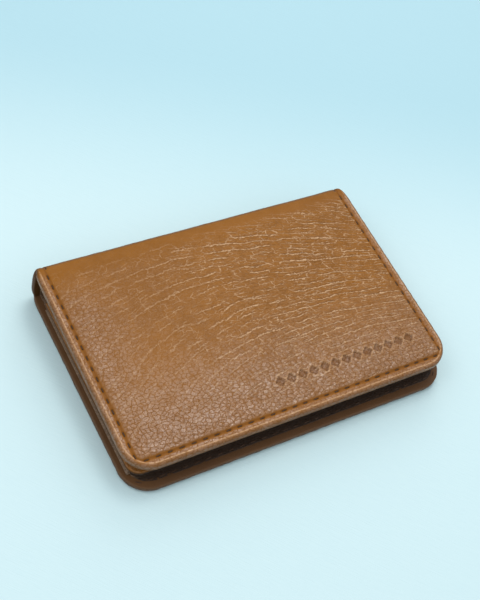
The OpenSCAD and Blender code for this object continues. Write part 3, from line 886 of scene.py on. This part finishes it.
def make_lining(name, panel, replaced, flip, front_shade_strength=0.0):
    """Lining of a panel and of its half of the spine."""
    piece = skin_mesh(name, CASE_HW - TURNED_W, -panel.tail, panel.length - TURNED_W, CORNER_R - TURNED_W,
                      panel.inner(0.04), edge_section(0.4, 0.2),
                      leather_relief(0.7, 90, fold=panel, front_shade_strength=front_shade_strength), lining,
                      step=(0.8, 0.5), fine=(0.4, 0.4), rim=2.0, flip=flip)
    bend_over_fold(piece, panel)
    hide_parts(*replaced)


make_lining("lining_flap", flap, ["front_lining", "spine_lining"], True)
make_lining("lining_lower", lower, ["back_lining"], False, front_shade_strength=1.0)


def make_wadding(name, panel, body, replaced, flip):
    """Felt under the hide, thickest in the middle."""
    half, front = CASE_HW - TURNED_W, panel.length - TURNED_W

    def crown(x, v, n):
        from_rim = inside(x, v, half, front, CORNER_R - TURNED_W)
        from_rim = np.minimum(from_rim, v - panel.axis_v - FILLING_BACK)
        fluff = 0.04 * wave_noise(x / 1.3, v / 1.3, 71)
        return (0.2 * (1 - np.exp(-np.maximum(from_rim, 0) / 2.5)) + fluff) * smooth(n, -0.2, -0.02), {}

    piece = skin_mesh(name, half, panel.axis_v + FILLING_BACK, front, CORNER_R - TURNED_W,
                      lambda x, v, n: panel.place(x, v, n - 1.0), edge_section(0.28, 0.13), crown, wool,
                      step=(0.9, 0.9), fine=(0.5, 0.5), rim=2.0, closed=True, flip=flip)
    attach(piece, body)
    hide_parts(replaced)


make_wadding("wadding_flap", flap, "front", "front_wadding", False)
make_wadding("wadding_lower", lower, "back", "back_wadding", True)


def inner_stitches():
    """Stitches inside the flap. They lie on whichever slot is on top, and skip the mouths."""
    stitches = []
    for x, v, heading in flap_line.places():
        if min(abs(v - mouth) for mouth in SLOT_MOUTHS) > STITCH_LEN / 2 + 0.2:
            layers = sum(v > mouth for mouth in SLOT_MOUTHS)
            stitches.append((x, v, heading, layers * SLOT_T))
    return stitches


def make_slots(stitches):
    """Card slots inside the flap: the leather of each, and the cloth behind it."""
    half, front, corner = CASE_HW - SLOT_INSET, flap.length - SLOT_INSET, CORNER_R - SLOT_INSET
    for i, (name, mouth) in enumerate(zip(SLOT_NAMES, SLOT_MOUTHS)):
        sewn = [at for at in stitches if round(at[3] / SLOT_T) == i + 1]
        slot = skin_mesh(name + "_leather", half, mouth, front, corner,
                         flap.inner(SLOT_T * (i + 1)), edge_section(SLOT_HIDE_T, 0.22),
                         leather_relief(0.8, 30 + i, sewn), hide, step=(0.5, 0.45), fine=(0.28, 0.28),
                         rim=3.6, closed=True, flip=True)
        cloth = skin_mesh(name + "_cloth", half - CLOTH_TRIM, mouth + CLOTH_TRIM, front - CLOTH_TRIM,
                          corner - CLOTH_TRIM, flap.inner(SLOT_T * i + SLOT_T - SLOT_HIDE_T),
                          edge_section(0.18, 0.08), lambda x, v, n: (0.01 * wave_noise(x, v, 5), {}),
                          weave, step=(1.5, 1.5), fine=(0.5, 0.5), rim=1.5, closed=True, flip=True)
        width, length = 2 * (half - CLOTH_TRIM), front - mouth - 2 * CLOTH_TRIM
        width * MM
        length * MM
        for piece, node in ((slot, name), (cloth, name + "_backing")):
            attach(piece, "front")
            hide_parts(node)


flap_inner = inner_stitches()
make_slots(flap_inner)
sewn = stitch_mesh("flap_inner_stitches", flap_inner, flap.inner(0), bobbin_thread, sink=-0.04, dive=0.3)
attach(sewn, "front")
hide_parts("front_stitching")

# ---- Gusseted pocket ----

pocket_low, pocket_high = box_mm("pocket_hide")
POCKET_HW, POCKET_MOUTH_Y, POCKET_TOP_Z = pocket_high
POCKET_FRONT_Y, POCKET_T = pocket_low[1], 2 * (POCKET_TOP_Z - POCKET_AXIS_Z)
POCKET_UNDER_Z = POCKET_TOP_Z - POCKET_T
POCKET_CORNER_R, POCKET_STITCH_IN = 4.0, 2.2
POCKET_LEN = POCKET_MOUTH_Y - POCKET_FRONT_Y

sewn = stitch_mesh("lower_inner_stitches",
                   [at + (0,) for at in lower_line.places()
                    if CREASE_Y + lower.axis_v - at[1] < POCKET_FRONT_Y - THREAD_R],
                   lower.inner(0), needle_thread, sink=-0.02, dive=0.3)
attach(sewn, "back")
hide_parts("back_stitching")


def pocket_place(x, v, n):
    """Points of the closed pocket panel. v runs forward from its mouth."""
    return np.stack((x, POCKET_MOUTH_Y - v, POCKET_TOP_Z + n), -1)


def pocket_stitches():
    """Up both sides and along the mouth."""
    half, first = POCKET_HW - POCKET_STITCH_IN, POCKET_STITCH_IN
    side_run = POCKET_LEN - POCKET_CORNER_R - 1 - first - STITCH_LEN
    counts = int(side_run / STITCH_PITCH), int(2 * half / STITCH_PITCH)
    sides = [(side * half, first + STITCH_LEN + (i + 0.5) * side_run / counts[0], math.pi / 2, 0)
             for side in (-1, 1) for i in range(counts[0])]
    mouth = [(-half + (i + 0.5) * 2 * half / counts[1], first, 0.0, 0) for i in range(counts[1])]
    return sides + mouth


def make_pocket_panel():
    """Front panel of the pocket, its lining and its stitches."""
    stitches = pocket_stitches()
    # its edges are darkened heavily with painted shade
    panel = skin_mesh("pocket_panel", POCKET_HW, 0, POCKET_LEN, POCKET_CORNER_R, pocket_place,
                      edge_section(POCKET_T, POCKET_T / 2),
                      leather_relief(1.0, 62, stitches, burnish=0.85), hide,
                      step=(0.45, 0.45), fine=(0.24, 0.24), rim=3.0, closed=True)
    under = skin_mesh("pocket_lining_skin", POCKET_HW - TURNED_W, TURNED_W, POCKET_LEN - TURNED_W,
                      POCKET_CORNER_R - TURNED_W / 2,
                      lambda x, v, n: pocket_place(x, v, -POCKET_T - 0.03 - n), edge_section(0.3, 0.12),
                      leather_relief(0.5, 64), lining, step=(0.9, 0.9), fine=(0.5, 0.5), rim=2.0, flip=True,
                      closed=True)
    sewn = stitch_mesh("pocket_stitches", stitches, pocket_place, needle_thread, sink=0.08, dive=0.3)
    for piece, node, slot in ((panel, "pocket_hide", "tan_leather"),
                              (under, "pocket_lining", "lining_leather"),
                              (sewn, "pocket_stitching", "thread")):
        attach(piece, "pocket")
        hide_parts(node)


make_pocket_panel()


def leather_strip(name, centre, thick, material, skin, burnish=0.0, pit=0.0):
    """Strip of leather round a grid of centre points, with rounded edges. skin is the place of
    each on the unrolled strip."""
    rows, columns = centre.shape[:2]
    along, across = np.gradient(centre, axis=0), np.gradient(centre, axis=1)
    normal = np.cross(across, along)
    normal /= np.linalg.norm(normal, axis=-1, keepdims=True)
    index = np.arange(rows * columns).reshape(rows, columns)
    rim = np.concatenate((index[:, 0], index[-1, 1:], index[-2::-1, -1], index[0, -2:0:-1]))
    middle = centre.reshape(-1, 3)[rim]
    run = np.roll(middle, -1, 0) - np.roll(middle, 1, 0)
    out = np.cross(run, normal.reshape(-1, 3)[rim])
    out /= np.linalg.norm(out, axis=-1, keepdims=True)
    out *= np.sign(np.sum(out * (middle - centre.reshape(-1, 3)[inward(rim, rows, columns)]), -1,
                          keepdims=True))
    top, low = centre + normal * thick / 2, centre - normal * thick / 2
    points = np.concatenate((top.reshape(-1, 3), middle + out * thick * 0.4, low.reshape(-1, 3)))
    ring = rows * columns + np.arange(len(rim))
    low_index = index + rows * columns + len(rim)
    faces = quads(index, True) + quads(low_index, False)
    faces += strip(rim, ring, True, True) + strip(ring, low_index.ravel()[rim], True, True)
    flat = skin.reshape(-1, 3)
    marks = {"skin": np.concatenate((flat, flat[rim], flat)), "fineness": np.full(len(points), 0.8),
             "burnish": np.full(len(points), burnish), "pit": np.full(len(points), pit)}
    return add_mesh(name, points, faces, material, marks)


def inward(rim, rows, columns):
    """The neighbour of each rim point towards the middle of the grid."""
    row, column = rim // columns, rim % columns
    return np.clip(row, 1, rows - 2) * columns + np.clip(column, 1, columns - 2)


def make_gusset(side):
    """V-folded strip between the lower panel and the pocket panel."""
    low, high = PANEL_T + 0.05, POCKET_UNDER_Z - 0.05
    thick, middle, fold, side_in = 0.36, (low + high) / 2, 8.6, 0.35
    share = np.linspace(-1, 1, 33)[None]
    depth = fold * (1 - np.abs(share) ** 1.6)
    rise = (high - low - thick) / 2 * np.sign(share) * (np.abs(share) ** 0.9)
    y = np.linspace(POCKET_FRONT_Y + 2.6, POCKET_MOUTH_Y - 0.3, 70)[:, None]
    wander = 0.35 * wave_noise(y / 7, 0 * y, 15 + side) + 0.1 * wave_noise(y / 2.2, 0 * y, 17)
    mouth_sag = 0.8 * smooth(y, POCKET_MOUTH_Y - 6, POCKET_MOUTH_Y)
    x = POCKET_HW - side_in - depth * (1 + (wander - mouth_sag) / fold)
    bulge = 0.05 * wave_noise(y / 1.6, share * 9, 33) * (1 - np.abs(share) ** 4)
    centre = np.stack(np.broadcast_arrays(side * x, y, middle + rise + bulge), -1)
    skin = np.stack(np.broadcast_arrays(share * fold, y, 0.0), -1)
    if side < 0:
        centre, skin = centre[:, ::-1], skin[:, ::-1]
    name = "right" if side > 0 else "left"
    piece = leather_strip("gusset_fold_" + name, centre, thick, lining, skin)
    foot, head = Vector((0, 0, PANEL_T)) * MM, Vector((0, 0, POCKET_UNDER_Z)) * MM
    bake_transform(piece)
    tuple(foot)
    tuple(head)
    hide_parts("gusset_" + name)


make_gusset(-1)
make_gusset(1)


def make_pocket_fold():
    """Bottom of the pocket, folded up from the lower panel to the pocket panel's front edge."""
    thick, corner = 0.7, POCKET_CORNER_R - 0.4
    straight = POCKET_HW - POCKET_CORNER_R
    turn = np.radians(np.linspace(0, 62, 9))
    end_x, end_back = straight + corner * np.sin(turn), corner * (1 - np.cos(turn))
    middle_x = np.linspace(-straight, straight, 130)[1:-1]
    flat = np.zeros(middle_x.size)
    along = np.concatenate((-end_x[::-1], middle_x, end_x))[:, None]
    back = np.concatenate((end_back[::-1], flat, end_back))[:, None]
    heading = np.concatenate((-turn[::-1], flat, turn))[:, None]
    height = np.linspace(0, 1, 12)[None]
    low, high = PANEL_T + 0.1, POCKET_UNDER_Z + 0.15
    belly = 1.5 * (1 - np.sin(np.clip(height * 1.25, 0, 1) * math.pi / 2)) ** 1.5
    inset = thick / 2 + 0.05 + belly
    ripple = 0.05 * wave_noise(along / 2.1, height * 3, 44)
    x = along - np.sin(heading) * inset
    y = POCKET_FRONT_Y + back + np.cos(heading) * inset + ripple
    z = low + (high - low) * height
    centre = np.stack(np.broadcast_arrays(x, y, z), -1)
    skin = np.stack(np.broadcast_arrays(along, z, 0.0), -1)
    # dark all over: a sheet of painted shade
    piece = leather_strip("pocket_fold", centre, thick, hide, skin, burnish=0.95, pit=0.6)
    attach(piece, "back")
    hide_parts("pocket_bottom")


make_pocket_fold()

board = fibre_board()
for name in ("front_board", "back_board", "spine_stay"):
    nodes[name].data.materials.clear()
    nodes[name].data.materials.append(board)

# ---- Camera, light and ground ----

CAMERA_AZIMUTH, CAMERA_ELEVATION, CAMERA_ROLL = -43.04, 51.36, 19.12
CAMERA_DISTANCE, CAMERA_LENS, FILM_LONG_SIDE = 330.4, 66.84, 36.0
CAMERA_RIGHT, CAMERA_UP = -0.35, 11.84


def set_camera():
    """Long lens from above the front left corner, a little rolled."""
    azimuth, elevation = math.radians(CAMERA_AZIMUTH), math.radians(CAMERA_ELEVATION)
    back = Vector((math.sin(azimuth) * math.cos(elevation), -math.cos(azimuth) * math.cos(elevation),
                   math.sin(elevation)))
    right = (-back).cross(Vector((0, 0, 1))).normalized()
    up = right.cross(-back)
    roll = math.radians(CAMERA_ROLL)
    right, up = (math.cos(roll) * right + math.sin(roll) * up, math.cos(roll) * up - math.sin(roll) * right)
    place = back * CAMERA_DISTANCE + right * CAMERA_RIGHT + up * CAMERA_UP
    camera = bpy.data.objects.new("camera", bpy.data.cameras.new("camera"))
    camera.data.sensor_width = FILM_LONG_SIDE
    camera.data.lens = CAMERA_LENS
    camera.data.clip_start, camera.data.clip_end = 0.01, 20
    camera.matrix_world = Matrix.Translation(place * MM) @ Matrix((right, up, back)).transposed().to_4x4()
    bpy.context.scene.collection.objects.link(camera)
    bpy.context.scene.camera = camera


def soft_light(name, size, place, power, colour):
    """Square light aimed at the middle of the case."""
    light = bpy.data.lights.new(name, "AREA")
    light.shape, light.size, light.energy, light.color = "SQUARE", size * MM, power, colour
    obj = bpy.data.objects.new(name, light)
    place = Vector(place)
    obj.matrix_world = Matrix.Translation(place * MM) @ place.to_track_quat("Z", "Y").to_matrix().to_4x4()
    bpy.context.scene.collection.objects.link(obj)
    return obj


def set_world():
    """Soft light from all round, brighter overhead than at the horizon."""
    world = bpy.data.worlds.new("studio")
    world.use_nodes = True
    tree = world.node_tree
    paint = Paint(tree=tree)
    direction = paint.node("TexCoord", output="Generated")
    up = paint.node("SeparateXYZ", None, {0: direction}, output=2)
    strength = up.ramp(0.0, 0.75, 0.54, 0.93)
    tree.nodes["Background"].inputs[0].default_value = (0.88, 0.95, 1.0, 1)
    tree.links.new(strength.socket, tree.nodes["Background"].inputs[1])
    bpy.context.scene.world = world


def set_stage():
    """Cloth floor, soft light and plain colours."""
    half = 3000
    corners = np.array([(-half, -half, 0), (half, -half, 0), (half, half, 0), (-half, half, 0)], float)
    floor = add_mesh("floor", corners, [(0, 1, 2, 3)], floor_cloth())
    floor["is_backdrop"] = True
    set_world()
    bpy.context.scene.view_settings.view_transform = "Standard"
    soft_light("overhead", 190, (135, 135, 484), 0.6, (1.0, 0.99, 0.97))
    soft_light("fill", 240, (-300, 60, 470), 0.38, (1.0, 0.99, 0.98))
    window = soft_light("window", 500, (480, 640, 430), 1.3, (1.0, 0.97, 0.93))
    window.visible_glossy = False


set_camera()
set_stage()

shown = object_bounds()
boxes = {"cad": cad_box, "visual": shown}
{name: [list(corner) for corner in box] for name, box in boxes.items()}
